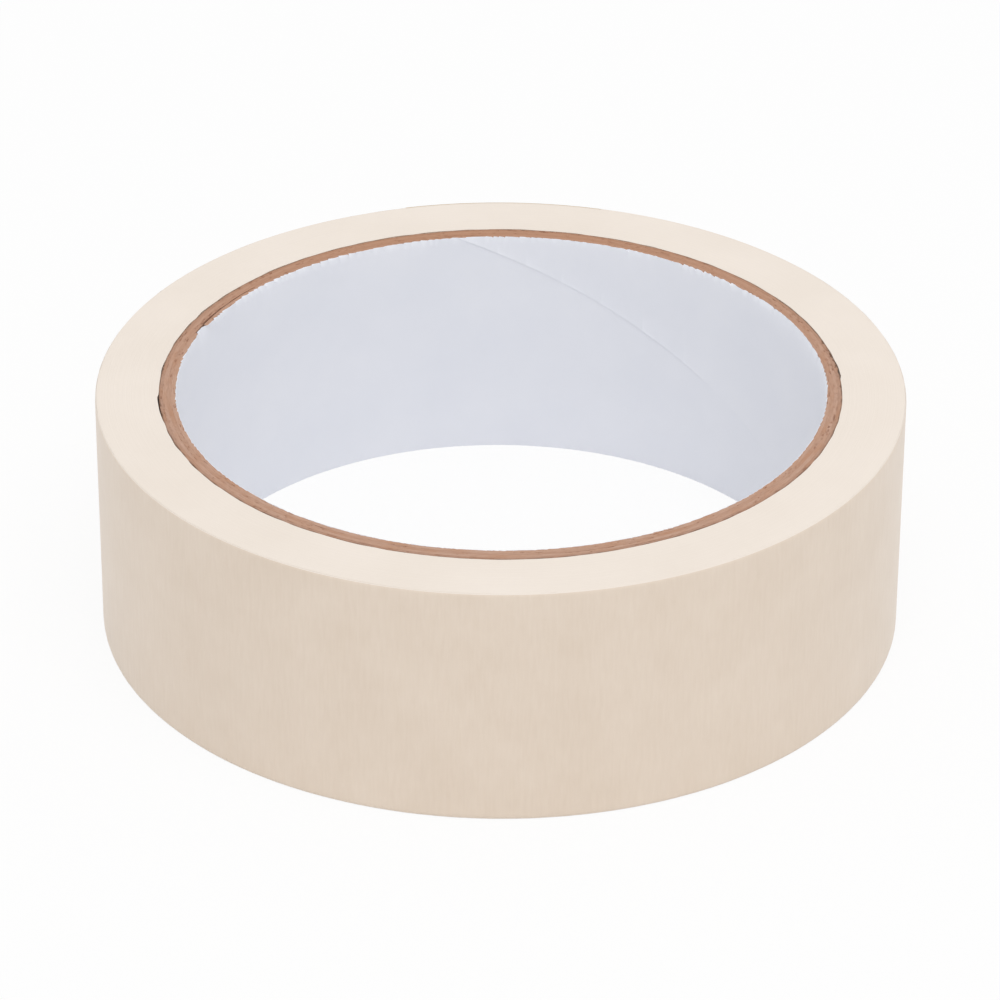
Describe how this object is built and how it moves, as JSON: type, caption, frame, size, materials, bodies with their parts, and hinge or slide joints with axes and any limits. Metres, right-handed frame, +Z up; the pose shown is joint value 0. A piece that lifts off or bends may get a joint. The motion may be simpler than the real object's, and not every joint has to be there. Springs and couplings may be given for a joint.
{
  "type": "masking tape roll",
  "caption": "Roll of masking tape lying flat: creped paper tape wound on a paperboard core, with a free end that peels.",
  "frame": {"origin": "middle of the side face that the roll lies on, on the roll's axis", "axes": "+Z up along the roll's axis; -Y towards the viewer of the picture, +X to the viewer's right"},
  "size_m": [0.0964, 0.0965, 0.03],
  "materials": {
    "tape_paper": "matte",
    "core_board": "matte",
    "liner_paper": "matte"
  },
  "bodies": {
    "roll": {"core_liner": "liner_paper", "core_ply_1": "core_board", "core_ply_2": "core_board", "core_ply_3": "core_board", "core_ply_4": "core_board", "tape_winding": "tape_paper", "tape_outer_turn": "tape_paper"},
    "lead_end": {"tape_lead_end": "tape_paper"}
  },
  "joints": [
    {"name": "lead_end_peel", "type": "hinge", "parent": "roll", "child": "lead_end", "pos_m": [0.01263, 0.04657, 0.015], "axis": [0, 0, -1], "range_deg": [0, 120]}
  ]
}
